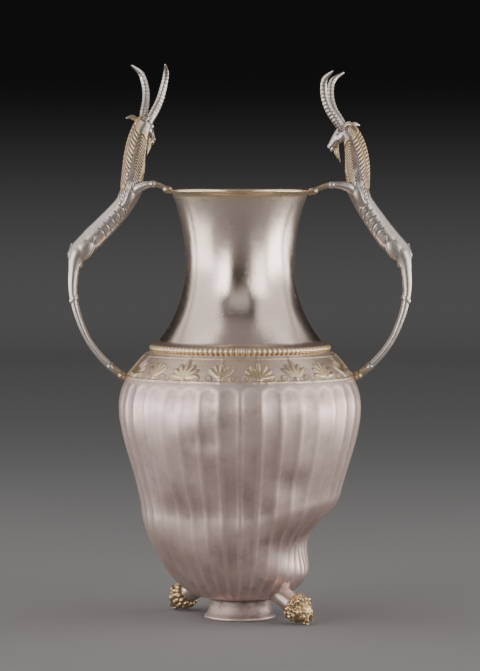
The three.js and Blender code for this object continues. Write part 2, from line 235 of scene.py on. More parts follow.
class Graph:
    """Short calls for adding shader nodes to one material.

    Args:
        tree: The material's node tree.
    """

    def __init__(self, tree: bpy.types.NodeTree) -> None:
        """Adds the object coordinates that the patterns read."""
        self.nodes = tree.nodes
        self.links = tree.links
        self.place = self.nodes.new("ShaderNodeTexCoord").outputs["Object"]

    def link(self, source: bpy.types.NodeSocket, target: bpy.types.NodeSocket) -> None:
        """Joins an output to an input."""
        self.links.new(source, target)

    def feed(self, target: bpy.types.NodeSocket, source: object) -> None:
        """Sets an input from a socket or from a plain value.

        Args:
            target: The input.
            source: An output to join to it, or its value.
        """
        if isinstance(source, bpy.types.NodeSocket):
            self.link(source, target)
        else:
            target.default_value = source

    def attribute(self, name: str) -> bpy.types.NodeSocket:
        """Reads one of the mesh's number attributes.

        Args:
            name: Name of the attribute.

        Returns:
            The attribute's value.
        """
        node = self.nodes.new("ShaderNodeAttribute")
        node.attribute_name = name
        return node.outputs["Fac"]

    def noise(self, scale: float, detail: float, rough: float) -> bpy.types.NodeSocket:
        """Adds a noise pattern in object coordinates.

        Args:
            scale: Waves for each metre.
            detail: How many finer layers it has.
            rough: Share of each finer layer.

        Returns:
            The pattern, from 0 to 1.
        """
        node = self.nodes.new("ShaderNodeTexNoise")
        node.inputs["Scale"].default_value = scale
        node.inputs["Detail"].default_value = detail
        node.inputs["Roughness"].default_value = rough
        self.link(self.place, node.inputs["Vector"])
        return node.outputs["Fac"]

    def ramp(self, source: bpy.types.NodeSocket, low: float, high: float) -> bpy.types.NodeSocket:
        """Eases a value from 0 at low to 1 at high.

        Args:
            source: The value.
            low: Where the easing starts.
            high: Where it ends.

        Returns:
            The eased value.
        """
        node = self.nodes.new("ShaderNodeMapRange")
        node.interpolation_type = "SMOOTHSTEP"
        node.inputs["From Min"].default_value = low
        node.inputs["From Max"].default_value = high
        self.link(source, node.inputs["Value"])
        return node.outputs["Result"]

    def math(self, kind: str, first: object, second: object, clamp: bool = False) -> bpy.types.NodeSocket:
        """Adds a node that works out a number from two.

        Args:
            kind: What it works out.
            first: A socket or a plain number.
            second: A socket or a plain number.
            clamp: Whether the result is kept between 0 and 1.

        Returns:
            The result.
        """
        node = self.nodes.new("ShaderNodeMath")
        node.operation = kind
        node.use_clamp = clamp
        self.feed(node.inputs[0], first)
        self.feed(node.inputs[1], second)
        return node.outputs[0]

    def mix(self, share: object, first: object, second: object,
            kind: Blend = Blend.COLOUR) -> bpy.types.NodeSocket:
        """Mixes two colours or two numbers, each a socket or a plain value.

        Args:
            share: Share of the second, from 0 to 1.
            first: What a share of 0 gives.
            second: What a share of 1 gives.
            kind: Whether colours or numbers are mixed.

        Returns:
            The mixture.
        """
        node = self.nodes.new("ShaderNodeMix")
        node.data_type, start, end = kind.value
        self.feed(node.inputs[0], share)
        self.feed(node.inputs[start], first)
        self.feed(node.inputs[start + 1], second)
        return node.outputs[end]


@dataclass(frozen=True)
class Sweep:
    """A stretch of a turned outline, a curve between two points of radius and height.

    Args:
        start: Radius and height where it starts, in millimetres.
        end: Radius and height where it ends.
        first: First handle, as shares of the way from start to end.
        second: Second handle, as shares of the same way.
    """

    start: Share
    end: Share
    first: Share
    second: Share

    def handles(self) -> list[Vector]:
        """Gives the curve's four control points.

        Returns:
            Its start, its two handles and its end.
        """
        ends = Vector(self.start), Vector(self.end)
        way = ends[1] - ends[0]
        inner = [ends[0] + Vector((way.x * h[0], way.y * h[1])) for h in (self.first, self.second)]
        return [ends[0], *inner, ends[1]]

    def points(self, steps: int, offset: float = 0.0) -> list[tuple[Vector, Vector]]:
        """Divides the curve into steps.

        Args:
            steps: Number of steps.
            offset: How far each point moves out from the wall's outer face.

        Returns:
            Each point with the outward direction there.
        """
        a, b, c, d = self.handles()
        found = []
        for i in range(steps + 1):
            t = i / steps
            u = 1.0 - t
            at = a * u ** 3 + b * 3 * u * u * t + c * 3 * u * t * t + d * t ** 3
            along = (b - a) * u * u + (c - b) * 2 * u * t + (d - c) * t * t
            out = Vector((along.y, -along.x)).normalized()
            found.append((at + out * offset, out))
        return found

    def radius_at(self, height: float) -> float:
        """Gives the curve's radius at a height."""
        near = self.points(60)
        return float(np.interp(height, [p.y for p, _ in near], [p.x for p, _ in near]))


@dataclass(frozen=True)
class Dent:
    """A push into the wall.

    Args:
        azimuth: Where its deepest point is, in degrees.
        height: Height of that point, in millimetres.
        width: How far it reaches to each side, in degrees.
        above: How far it reaches up, in millimetres.
        below: How far it reaches down.
        depth: How deep it goes.
    """

    azimuth: float
    height: float
    width: float
    above: float
    below: float
    depth: float

    def push(self, azimuth: np.ndarray, height: np.ndarray) -> np.ndarray:
        """Gives how far the dent pushes each point in, in millimetres.

        Args:
            azimuth: Azimuth of each point, in degrees.
            height: Height of each point, in millimetres.

        Returns:
            The depth at each point, 0 outside the dent.
        """
        rise = height - self.height
        reach = np.where(rise > 0.0, self.above, self.below)
        share = np.hypot(turn_between(azimuth, self.azimuth) / self.width, rise / reach)
        return np.where(share < 1.0, self.depth * (1.0 + np.cos(np.pi * np.minimum(share, 1.0))) / 2.0, 0.0)


def finished(mesh: bpy.types.Mesh, name: str, material: bpy.types.Material,
             nodes: Sequence[str]) -> bpy.types.Object:
    """Puts a finished mesh in the scene in place of its CAD nodes.

    Args:
        mesh: The mesh, its place in its own points.
        name: Name of the piece.
        material: The finish.
        nodes: CAD nodes that the piece stands for.

    Returns:
        The piece.
    """
    mesh.name = name
    mesh.materials.clear()
    mesh.materials.append(material)
    mesh.polygons.foreach_set("use_smooth", [True] * len(mesh.polygons))
    piece = placed(name, mesh)
    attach(piece, "root")
    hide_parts(*nodes)
    mesh.calc_loop_triangles()
    log.info("%s: %d triangles", name, len(mesh.loop_triangles))
    return piece


def points_of(mesh: bpy.types.Mesh) -> np.ndarray:
    """Reads a mesh's points as rows of x, y and z.

    Args:
        mesh: The mesh to read.

    Returns:
        The points, in metres.
    """
    place = np.empty(len(mesh.vertices) * 3)
    mesh.vertices.foreach_get("co", place)
    return place.reshape(-1, 3)


def normals_of(mesh: bpy.types.Mesh) -> np.ndarray:
    """Reads a mesh's point normals as rows of x, y and z.

    Args:
        mesh: The mesh to read.

    Returns:
        The normals.
    """
    normals = np.empty(len(mesh.vertices) * 3)
    mesh.vertices.foreach_get("normal", normals)
    return normals.reshape(-1, 3)


def move_points(mesh: bpy.types.Mesh, place: np.ndarray) -> None:
    """Writes a mesh's points back."""
    mesh.vertices.foreach_set("co", place.ravel())
    mesh.update()


def paint(mesh: bpy.types.Mesh, name: str, values: np.ndarray) -> None:
    """Stores one number for each point as an attribute that the finishes read."""
    layer = mesh.attributes.get(name) or mesh.attributes.new(name, "FLOAT", "POINT")
    layer.data.foreach_set("value", np.clip(values, 0.0, 1.0).astype(np.float32))


def hollows(mesh: bpy.types.Mesh, rounds: int, reach: float) -> np.ndarray:
    """Finds how sunk each point lies among its neighbours.

    Args:
        mesh: The mesh to read.
        rounds: How many times neighbours are averaged, so how broad a hollow counts.
        reach: Depth in metres that counts as fully sunk.

    Returns:
        From -1 on a proud edge to 1 in a hollow.
    """
    place = points_of(mesh)
    edges = np.empty(len(mesh.edges) * 2, dtype=np.int64)
    mesh.edges.foreach_get("vertices", edges)
    edges = edges.reshape(-1, 2)
    count = np.bincount(edges.ravel(), minlength=len(place)).astype(float)
    soft = place.copy()
    for _ in range(rounds):
        total = np.stack([
            np.bincount(edges[:, 0], soft[edges[:, 1], axis], len(place))
            + np.bincount(edges[:, 1], soft[edges[:, 0], axis], len(place))
            for axis in range(3)
        ], axis=1)
        soft = total / np.maximum(count, 1.0)[:, None]
    depth = np.einsum("ij,ij->i", soft - place, normals_of(mesh))
    return np.clip(depth / reach, -1.0, 1.0)


@dataclass
class Vessel:
    """The hollow wall of foot, body, collar, neck and lip. Sizes are in millimetres.

    The dents and the stains give azimuth, height, width, reach above, reach below and depth. A
    patch's depth among the stains is its share of the dark colour. The two on the back are stains;
    the six on the front are painted shade, three dark reflections high on the shoulder and three
    for the shade of the dents lower down.
    """

    foot_radius: float = 22.5
    foot_waist: float = 19.0
    foot_height: float = 13.0
    foot_edge: float = 1.6
    heel: Share = (37.0, 20.0)
    flank: Share = (62.0, 68.0)
    belly: Share = (76.3, 134.0)
    collar: Share = (56.0, 170.0)
    collar_bead: float = 2.4
    throat: Share = (34.3, 224.0)
    rim_radius: float = 44.5
    rim_height: float = 271.0
    lip_height: float = 2.6
    lip_overhang: float = 1.6
    wall: float = 1.6
    base_wall: float = 2.0
    flute_count: int = 36
    flute_depth: float = 0.95
    frieze_margin: float = 3.0
    frieze_height: float = 14.0
    frieze_relief: float = 0.85
    bead_count: int = 108
    bead_depth: float = 0.55
    hammer_depth: float = 0.28
    hammer_reach: float = 34.0
    sides: int = 288
    dents: tuple[Dent, ...] = (
        Dent(-14.0, 51.0, 88.0, 27.0, 29.0, 16.0),
        Dent(-124.0, 66.0, 26.0, 28.0, 30.0, 2.6),
        Dent(-62.0, 92.0, 15.0, 13.0, 16.0, 1.3),
        Dent(-96.0, 44.0, 14.0, 16.0, 14.0, 1.4),
        Dent(-108.0, 118.0, 13.0, 12.0, 10.0, 0.8),
        Dent(64.0, 84.0, 18.0, 16.0, 20.0, 1.6),
        Dent(140.0, 104.0, 14.0, 14.0, 12.0, 1.1),
    )
    # Two stains on the back; the six on the front are painted shade: three dark reflections high on the
    # shoulder and three for the shade of the dents lower down.
    stains_and_painted_shade: tuple[Dent, ...] = (
        Dent(-133.0, 130.0, 11.0, 8.0, 8.0, 0.30),
        Dent(-98.0, 129.0, 24.0, 13.0, 11.0, 0.58),
        Dent(-57.0, 127.0, 12.0, 8.0, 8.0, 0.30),
        Dent(-120.0, 70.0, 24.0, 26.0, 24.0, 0.14),
        Dent(-87.0, 74.0, 12.0, 14.0, 12.0, 0.10),
        Dent(-68.0, 53.0, 34.0, 12.0, 9.0, 0.14),
        Dent(70.0, 100.0, 30.0, 20.0, 30.0, 0.30),
        Dent(150.0, 120.0, 24.0, 16.0, 18.0, 0.26),
    )

    def __post_init__(self) -> None:
        """Works out the curves and the frieze's heights from the sizes."""
        lip = (self.rim_radius - self.lip_overhang, self.rim_height - self.lip_height)
        foot_top = (self.foot_waist, self.foot_height)
        self.foot_side = Sweep((self.foot_radius, self.foot_edge), foot_top, (0.55, 0.1), (1.0, 0.5))
        self.underside = Sweep(foot_top, self.heel, (0.45, 0.08), (0.78, 0.5))
        self.lower_side = Sweep(self.heel, self.flank, (0.36, 0.167), (0.96, 0.625))
        self.belly_side = Sweep(self.flank, self.belly, (0.07, 0.27), (1.0, 0.667))
        self.shoulder = Sweep(self.belly, self.collar, (0.0, 0.47), (0.54, 0.76))
        self.neck_fall = Sweep(self.collar, self.throat, (0.7, 0.3), (1.0, 0.62))
        self.lip_rise = Sweep(self.throat, lip, (0.0, 0.4), (0.5, 0.78))
        self.frieze_top = self.collar[1] - self.frieze_margin
        self.frieze_bottom = self.frieze_top - self.frieze_height
        self.flute_top = self.frieze_bottom - self.frieze_margin

    @staticmethod
    def ring(centre: Share, radius: float, start: float, span: float,
             steps: int) -> list[tuple[Vector, Vector]]:
        """Rounds off a ring's outline.

        Args:
            centre: Radius and height of the middle of its section.
            radius: Radius of its section.
            start: Where it starts, in half turns from straight out.
            span: How far it goes round, in half turns.
            steps: Number of steps.

        Returns:
            Each point with the outward direction there.
        """
        found = []
        for i in range(steps + 1):
            angle = (start + span * i / steps) * math.pi
            out = Vector((math.cos(angle), math.sin(angle)))
            found.append((Vector(centre) + out * radius, out))
        return found

    def outside(self) -> list[tuple[Vector, Vector]]:
        """Gives the outer outline from the middle of the base to the lip's edge.

        Returns:
            Each point's radius and height with the outward direction there.
        """
        down = Vector((0.0, -1.0))
        base = [(Vector((r, 0.0)), down) for r in (0.0, 8.0, 15.0, self.foot_radius - 0.6)]
        half = self.collar_bead / 2
        collar = self.ring((self.collar[0] - half, self.collar[1] + half), self.collar_bead, -0.47, 0.97, 10)
        above = self.collar[1] + self.collar_bead
        neck = [pair for pair in self.neck_fall.points(16)[1:] if pair[0].y > above]
        edge = self.lip_height / 2
        lip = self.ring((self.rim_radius - edge, self.rim_height - edge), edge, -0.4, 1.15, 10)
        return [
            *base,
            (Vector((self.foot_radius, 0.5)), Vector((1.0, 0.0))),
            *self.foot_side.points(9),
            *self.underside.points(9)[1:],
            *self.lower_side.points(34)[1:],
            *self.belly_side.points(31)[1:],
            *self.shoulder.points(44)[1:-1],
            *collar,
            *neck,
            *self.lip_rise.points(12)[1:],
            *lip,
        ]

    def inside(self) -> list[tuple[Vector, Vector]]:
        """Gives the inner outline from the mouth down to the middle of the floor.

        Returns:
            Each point's radius and height with the direction into the cavity.
        """
        stretches = [(self.lip_rise, 9), (self.neck_fall, 9), (self.shoulder, 7), (self.belly_side, 8),
                     (self.lower_side, 9), (self.underside, 2), (self.foot_side, 2)]
        found = []
        for curve, steps in stretches:
            found += [(p, -out) for p, out in curve.points(steps, -self.wall)[::-1][:-1]]
        last = found[-1][0].x
        up = Vector((0.0, 1.0))
        return found + [(Vector((last, self.base_wall)), up), (Vector((0.0, self.base_wall)), up)]

    def blank(self) -> bpy.types.Mesh:
        """Turns the outline about Z.

        Returns:
            The wall before its carving, with each point's outward direction and side as attributes.
        """
        bm = bmesh.new()
        across = bm.verts.layers.float.new("across")
        upward = bm.verts.layers.float.new("upward")
        outer = bm.verts.layers.float.new("outer")
        outline = [(*pair, 1.0) for pair in self.outside()] + [(*pair, 0.0) for pair in self.inside()]
        chain = []
        for place, out, side in outline:
            vertex = bm.verts.new((place.x * MM, 0.0, place.y * MM))
            vertex[across] = out.x
            vertex[upward] = out.y
            vertex[outer] = side
            chain.append(vertex)
        turned(bm, chain, self.sides)
        low = (self.frieze_bottom - 0.5) * MM
        high = (self.collar[1] + 1.6 * self.collar_bead) * MM
        band = [face for face in bm.faces if all(v[outer] > 0.5 and low < v.co.z < high for v in face.verts)]
        carved = list(dict.fromkeys(edge for face in band for edge in face.edges))
        bmesh.ops.subdivide_edges(bm, edges=carved, cuts=1, use_grid_fill=True)
        bmesh.ops.recalc_face_normals(bm, faces=bm.faces)
        return mesh_of(bm, "vessel_wall")

    def flutes(self, azimuth: np.ndarray, height: np.ndarray) -> np.ndarray:
        """Gives how deep the flutes are cut, with their round ends.

        Args:
            azimuth: Azimuth of each point, in degrees.
            height: Height of each point, in millimetres.

        Returns:
            Depth below the outline, in millimetres.
        """
        pitch = 360.0 / self.flute_count
        across = 1.0 - np.abs(turn_between(azimuth, pitch / 2) % pitch / pitch * 2.0 - 1.0)
        half = math.pi * self.shoulder.radius_at(self.flute_top) / self.flute_count
        over = np.maximum(height - (self.flute_top - half), 0.0) / half
        under = np.maximum(self.foot_height + 6.0 - height, 0.0) / 5.0
        inside = 1.0 - across ** 2 - over ** 2 - under ** 2
        return self.flute_depth * np.clip(inside, 0.0, 1.0) ** 0.7

    @staticmethod
    def petal(x: np.ndarray, y: np.ndarray, angle: float, length: float, width: float,
              point: float) -> np.ndarray:
        """Shapes one petal that springs from its flower's root.

        Args:
            x: How far round from the root each point lies, in millimetres.
            y: How far above the root it lies.
            angle: How far the petal leans to the side, in degrees.
            length: Length of the petal.
            width: Its half width before its ends narrow.
            point: 0.5 rounds its tip, and more than 1 makes it pointed.

        Returns:
            From 0 at the petal's edge to 1 on its rib.
        """
        lean = math.radians(angle)
        share = np.clip((x * math.sin(lean) + y * math.cos(lean)) / length, 0.0, 1.0)
        half = width * np.sqrt(share) * (1.0 - share ** 4) ** point
        across = np.abs(x * math.cos(lean) - y * math.sin(lean))
        return np.clip(1.0 - across / np.maximum(half, 0.01), 0.0, 1.0)

    def frieze(self, azimuth: np.ndarray, height: np.ndarray) -> tuple[np.ndarray, np.ndarray]:
        """Works out the band of palmettes and lotus flowers round the shoulder.

        Args:
            azimuth: Azimuth of each point, in degrees.
            height: Height of each point, in millimetres.

        Returns:
            How far each point stands out, in millimetres, and how much gilding it holds.
        """
        pitch = 720.0 / self.flute_count
        unit = np.round(azimuth / pitch)
        low = self.shoulder.radius_at(self.frieze_bottom)
        high = self.shoulder.radius_at(self.frieze_top)
        slope = math.hypot(self.frieze_height, low - high)
        share = (height - self.frieze_bottom) / self.frieze_height
        radius = low + (high - low) * np.clip(share, 0.0, 1.0)
        x = np.radians(azimuth - unit * pitch) * radius
        y = share * slope
        rise = y - 3.2
        palmette = [self.petal(x, rise, 26.0 * k, 12.0 - 0.9 * abs(k), 2.35, 0.5) for k in range(-3, 4)]
        lotus = [self.petal(x, rise, 23.0 * k, 12.4 - 0.6 * abs(k), 1.7 + 1.2 * ((k + 1) % 2), 1.3)
                 for k in range(-2, 3)]
        inside = np.where(unit % 2 == 0, np.maximum.reduce(palmette), np.maximum.reduce(lotus))
        leaf = smooth_step(inside, 0.04, 0.42)
        heart = smooth_step(1.8 - np.hypot(x, rise + 0.5), 0.0, 0.6)
        curl = np.hypot(np.abs(x) - 8.0, y - 2.9)
        scroll = smooth_step(0.6 - np.abs(curl - 1.9), 0.0, 0.4) + smooth_step(0.8 - curl, 0.0, 0.4)
        fillet = sum(smooth_step(0.55 - np.abs(gap), 0.0, 0.35) for gap in (y - 0.3, y - slope + 0.3))
        band = smooth_step(share, -0.1, 0.0) * smooth_step(share, 1.12, 1.02)
        relief = np.maximum.reduce([leaf * (0.5 + 0.4 * inside), heart, scroll * 0.7, fillet * 0.8])
        gilt = np.maximum.reduce([leaf, heart, scroll, fillet * 0.9, np.full_like(leaf, 0.3)])
        return relief * band * self.frieze_relief, gilt * band

    def make(self, material: bpy.types.Material) -> bpy.types.Object:
        """Carves, dents and finishes the wall.

        Args:
            material: The finish.

        Returns:
            The piece that stands for the vessel.
        """
        mesh = self.blank()
        place = points_of(mesh) / MM
        azimuth = np.degrees(np.arctan2(place[:, 1], place[:, 0]))
        radius = np.hypot(place[:, 0], place[:, 1])
        height = place[:, 2].copy()
        read = {}
        for name in ("across", "upward", "outer"):
            values = np.empty(len(place), dtype=np.float32)
            mesh.attributes[name].data.foreach_get("value", values)
            read[name] = values.astype(float)
            mesh.attributes.remove(mesh.attributes[name])
        outer = read["outer"] > 0.5
        on_body = outer & (height > self.foot_height) & (height < self.collar[1])
        flute = np.where(on_body, self.flutes(azimuth, height), 0.0)
        relief, gilt = self.frieze(azimuth, height)
        relief = np.where(on_body, relief, 0.0)
        bead = np.abs(np.sin(np.radians(azimuth) * (self.bead_count / 2)))
        ring = outer & (height > self.collar[1] - 1.0) & (height < self.collar[1] + 2.4 * self.collar_bead)
        ring &= radius > self.collar[0] - self.collar_bead * 0.4
        lift = relief - flute - np.where(ring, self.bead_depth * (1.0 - bead), 0.0)
        east, north = np.cos(np.radians(azimuth)), np.sin(np.radians(azimuth))
        place[:, 0] += lift * read["across"] * east
        place[:, 1] += lift * read["across"] * north
        place[:, 2] += lift * read["upward"]
        push = sum(dent.push(azimuth, height) for dent in self.dents)
        free = smooth_step(height, self.foot_height, self.foot_height + 16.0)
        free = free * smooth_step(height, self.rim_height, self.rim_height - 40.0)
        hammered = swell(azimuth, height, seed=11, waves=16, size=self.hammer_reach)
        push = push + self.hammer_depth * free * hammered
        place[:, 0] -= push * east * (radius > self.foot_waist / 2)
        place[:, 1] -= push * north * (radius > self.foot_waist / 2)
        move_points(mesh, place * MM)
        self.dress(mesh, azimuth, height, outer, flute, relief, gilt * on_body, ring)
        return finished(mesh, "vessel_wall", material, ["vessel"])

    def dress(self, mesh: bpy.types.Mesh, azimuth: np.ndarray, height: np.ndarray, outer: np.ndarray,
              flute: np.ndarray, relief: np.ndarray, gilt: np.ndarray, ring: np.ndarray) -> None:
        """Paints gilding, polish, tarnish and painted shade on the wall's points.

        Args:
            mesh: The carved wall.
            azimuth: Azimuth of each point, in degrees.
            height: Height of each point before carving, in millimetres.
            outer: Which points are on the outer face.
            flute: Depth of the flutes at each point, in millimetres.
            relief: How far the frieze stands out there, in millimetres.
            gilt: Gilding of the frieze.
            ring: Which points are on the collar's ring.
        """
        neck = smooth_step(height, self.collar[1] + 2.0, self.collar[1] + 6.0)
        lip = smooth_step(height, self.rim_height - 9.0, self.rim_height - 6.0)
        # Painted shade: the foot and the underside just above it are darkened for the shadow beneath the
        # vessel.
        foot = smooth_step(height, self.foot_height + 5.0, self.foot_height - 2.0)
        gold = np.maximum(gilt, np.where(ring, 0.85, 0.0))
        gold = np.maximum(gold, lip * 0.7 * outer)
        sunk = hollows(mesh, rounds=3, reach=0.00012)
        # The patches darken the wall: as stains on the back, and as painted shade and painted dark
        # reflections on the front.
        stain = sum(spot.push(azimuth, height) for spot in self.stains_and_painted_shade)
        dark = 0.08 * flute / self.flute_depth + 0.5 * stain * (neck < 0.5) + 0.35 * foot
        dark = dark + np.maximum(sunk, 0.0) * np.where(height < self.collar[1] + 4.0, 0.42, 0.1)
        dark = dark + 0.1 * ring + 0.06 * (gilt > 0.0) * (relief < 0.12)
        dark = np.where(outer, dark, 0.55)
        paint(mesh, "gilding", gold)
        paint(mesh, "polish", np.where(outer, neck, 0.3))
        paint(mesh, "tarnish_and_shade", dark)


def smooth_line(points: Sequence[Vector], steps: int) -> list[Vector]:
    """Runs a smooth line through points, evenly timed by the square root of their distances.

    Args:
        points: Points to pass through.
        steps: Number of steps along the line.

    Returns:
        The line's points, one more than steps.
    """
    whole = [points[0] * 2 - points[1], *points, points[-1] * 2 - points[-2]]
    found = []
    for i in range(steps + 1):
        at = min(i / steps * (len(points) - 1), len(points) - 1 - MERGE)
        k = int(at)
        level = whole[k:k + 4]
        knots = [0.0]
        for a, b in zip(level, level[1:]):
            knots.append(knots[-1] + math.sqrt((b - a).length))
        t = knots[1] + (at - k) * (knots[2] - knots[1])
        for spans in (((0, 1), (1, 2), (2, 3)), ((0, 2), (1, 3)), ((1, 2),)):
            shares = [(t - knots[low]) / (knots[high] - knots[low]) for low, high in spans]
            level = [a.lerp(b, s) for a, b, s in zip(level, level[1:], shares)]
        found.append(level[0])
    return found


def limb(points: Sequence[Place], thick: Sequence[Share], place: Matrix, sides: int, steps: int,
         rib: Callable[[float], float] | None = None) -> bmesh.types.BMesh:
    """Extrudes an oval ring along a smooth line and closes its ends.

    Args:
        points: Points of the line, in the figure's shares.
        thick: Half thickness and half width at even shares of the line, in the same shares.
        place: Puts the figure in place.
        sides: Corners of the ring.
        steps: Steps along the line.
        rib: Gives a factor on the thickness at a share of the line.

    Returns:
        A closed mesh.
    """
    line = smooth_line([Vector(p) for p in points], steps)
    frames = []
    for i, middle in enumerate(line):
        share = i / steps
        along = (line[min(i + 1, steps)] - line[max(i - 1, 0)]).normalized()
        across = (Vector((0, 1, 0)) - along * along.y).normalized()
        over = along.cross(across)
        at = share * (len(thick) - 1)
        k = min(int(at), len(thick) - 2)
        half, wide = Vector(thick[k]).lerp(Vector(thick[k + 1]), at - k) * (rib(share) if rib else 1.0)
        turn = Matrix((over * half, across * wide, along)).transposed().to_4x4()
        frames.append(Matrix.Translation(middle) @ turn)
    bm = bmesh.new()
    ring = bmesh.ops.create_circle(bm, cap_ends=True, radius=1.0, segments=sides, matrix=frames[0])
    face = ring["verts"][0].link_faces[0]
    for before, after in zip(frames, frames[1:]):
        grown = bmesh.ops.extrude_face_region(bm, geom=[face], use_keep_orig=before is frames[0])
        face = next(item for item in grown["geom"] if isinstance(item, bmesh.types.BMFace))
        bmesh.ops.transform(bm, matrix=after @ before.inverted(), verts=list(face.verts))
    bmesh.ops.transform(bm, matrix=place, verts=bm.verts)
    bmesh.ops.recalc_face_normals(bm, faces=bm.faces)
    return bm


def sided(points: Sequence[Place], side: int) -> list[Place]:
    """Puts points on one side of the figure's middle plane."""
    return [(out, side * across, up) for out, across, up in points]


def lump(centre: Place, radii: Place, place: Matrix, pitch: float = 0.0,
         roll: float = 0.0) -> bmesh.types.BMesh:
    """Makes an egg-shaped lump.

    Args:
        centre: Its centre, in the figure's shares.
        radii: Its three radii, in the same shares.
        place: Puts the figure in place.
        pitch: Turn about the figure's second axis, in degrees.
        roll: Turn about its first axis after that, in degrees.

    Returns:
        A closed mesh.
    """
    turn = Matrix.Rotation(math.radians(roll), 4, "X") @ Matrix.Rotation(math.radians(pitch), 4, "Y")
    matrix = place @ Matrix.Translation(centre) @ turn @ Matrix.Diagonal((*radii, 1.0))
    bm = bmesh.new()
    bmesh.ops.create_icosphere(bm, subdivisions=3, radius=1.0, matrix=matrix)
    return bm


def fused(parts: Sequence[bmesh.types.BMesh], voxel: float, rounds: int,
          cutter: bpy.types.Mesh | None = None) -> bpy.types.Mesh:
    """Melts closed lumps and limbs into one skin, as they are in a casting.

    Args:
        parts: Closed meshes that overlap. They are freed.
        voxel: Size of the skin's squares, in metres.
        rounds: How many times the skin is softened.
        cutter: A closed mesh that is cut out of the casting.

    Returns:
        One closed mesh.
    """
    whole = bmesh.new()
    for part in parts:
        rough = mesh_of(part, "part")
        whole.from_mesh(rough)
        bpy.data.meshes.remove(rough)
    rough = mesh_of(whole, "rough")
    holder = placed("rough", rough)
    melt = holder.modifiers.new("melt", "REMESH")
    melt.mode = "VOXEL"
    melt.voxel_size = voxel
    melt.adaptivity = 0.0
    tool = placed("tool", cutter) if cutter else None
    if tool:
        cut = holder.modifiers.new("cut", "BOOLEAN")
        cut.operation = "DIFFERENCE"
        cut.solver = "EXACT"
        cut.object = tool
    seen = holder.evaluated_get(bpy.context.evaluated_depsgraph_get())
    mesh = bpy.data.meshes.new_from_object(seen)
    bpy.data.objects.remove(holder)
    if tool:
        bpy.data.objects.remove(tool)
    bpy.data.meshes.remove(rough)
    bm = bmesh.new()
    bm.from_mesh(mesh)
    for _ in range(rounds):
        bmesh.ops.smooth_vert(bm, verts=bm.verts, factor=0.5, use_axis_x=True, use_axis_y=True,
                              use_axis_z=True)
    bmesh.ops.recalc_face_normals(bm, faces=bm.faces)
    bm.to_mesh(mesh)
    bm.free()
    return mesh


def near_line(place: np.ndarray, points: Sequence[Vector]) -> np.ndarray:
    """Gives each point's distance to a line of points, in metres.

    Args:
        place: The points to measure from, as rows of x, y and z.
        points: The line's points.

    Returns:
        One distance for each point.
    """
    best = np.full(len(place), np.inf)
    for a, b in zip(points, points[1:]):
        start = np.array(a)
        way = np.array(b) - start
        share = np.clip((place - start) @ way / max(float(way @ way), 1e-18), 0.0, 1.0)
        gap = np.linalg.norm(place - start - share[:, None] * way, axis=1)
        best = np.minimum(best, gap)
    return best


def chase(mesh: bpy.types.Mesh, lines: Sequence[Sequence[Vector]], width: float,
          depth: float) -> None:
    """Presses grooves into a skin along lines near it, or raises ridges where depth is negative.

    Args:
        mesh: The skin.
        lines: Lines to press along. Each is first laid on the skin.
        width: Half width of a groove, in metres.
        depth: Depth of a groove, in metres.
    """
    place = points_of(mesh)
    normals = normals_of(mesh)
    tree = BVHTree.FromPolygons([v.co for v in mesh.vertices], [p.vertices for p in mesh.polygons])
    push = np.zeros(len(place))
    for line in lines:
        laid = [tree.find_nearest(p)[0] for p in smooth_line(line, 6 * (len(line) - 1))]
        low = np.min([tuple(p) for p in laid], axis=0) - width
        high = np.max([tuple(p) for p in laid], axis=0) + width
        close = np.where(np.all((place > low) & (place < high), axis=1))[0]
        if len(close):
            gap = near_line(place[close], laid)
            press = 0.5 + 0.5 * np.cos(np.pi * np.minimum(gap / width, 1.0))
            push[close] = np.maximum(push[close], press)
    move_points(mesh, place - normals * (push * depth)[:, None])


def seat(mesh: bpy.types.Mesh, outline: Sequence[Vector], depth: float) -> None:
    """Lifts the points of a cast piece that lie deep in the vessel's wall out to just under its face.

    Args:
        mesh: The cast piece.
        outline: Radius and height along the wall's outer face, in millimetres.
        depth: How far under the face the piece may reach, in millimetres.
    """
    place = points_of(mesh) / MM
    radius = np.hypot(place[:, 0], place[:, 1])
    spots = np.stack([radius, place[:, 2]], axis=1)
    best = np.full(len(place), np.inf)
    nearest = np.zeros_like(spots)
    signed = np.zeros(len(place))
    for a, b in zip(outline, outline[1:]):
        start, end = np.array(a), np.array(b)
        way = end - start
        share = np.clip((spots - start) @ way / float(way @ way), 0.0, 1.0)
        foot = start + share[:, None] * way
        gap = spots - foot
        far = np.hypot(gap[:, 0], gap[:, 1])
        out = np.array((way[1], -way[0])) / math.hypot(*way)
        closer = far < best
        best = np.where(closer, far, best)
        nearest[closer] = foot[closer] - out * depth
        signed = np.where(closer, gap @ out, signed)
    deep = signed < -depth
    scale = np.where(deep, nearest[:, 0] / np.maximum(radius, 1.0), 1.0)
    place[:, 0] *= scale
    place[:, 1] *= scale
    place[:, 2] = np.where(deep, nearest[:, 1], place[:, 2])
    move_points(mesh, place * MM)


@dataclass(frozen=True)
class Pose:
    """How a figure is bent.

    Args:
        head_turn: Turn of its head towards the front, in degrees.
        lean: Share by which its upper body leans in.
        lift: Share of its span by which its head is raised.
    """

    head_turn: float
    lean: float
    lift: float

    def bend(self, point: Place) -> Vector:
        """Gives a share point after the lean and the lift.

        Args:
            point: The point [out, across, up] of the upright figure.

        Returns:
            The point of the bent figure.
        """
        out, across, up = point
        lean = self.lean * float(smooth_step(np.array(up), 0.62, 0.97))
        lift = self.lift * float(smooth_step(np.array(up), 0.9, 1.3))
        return Vector((out * (1.0 - lean), across, up + lift))


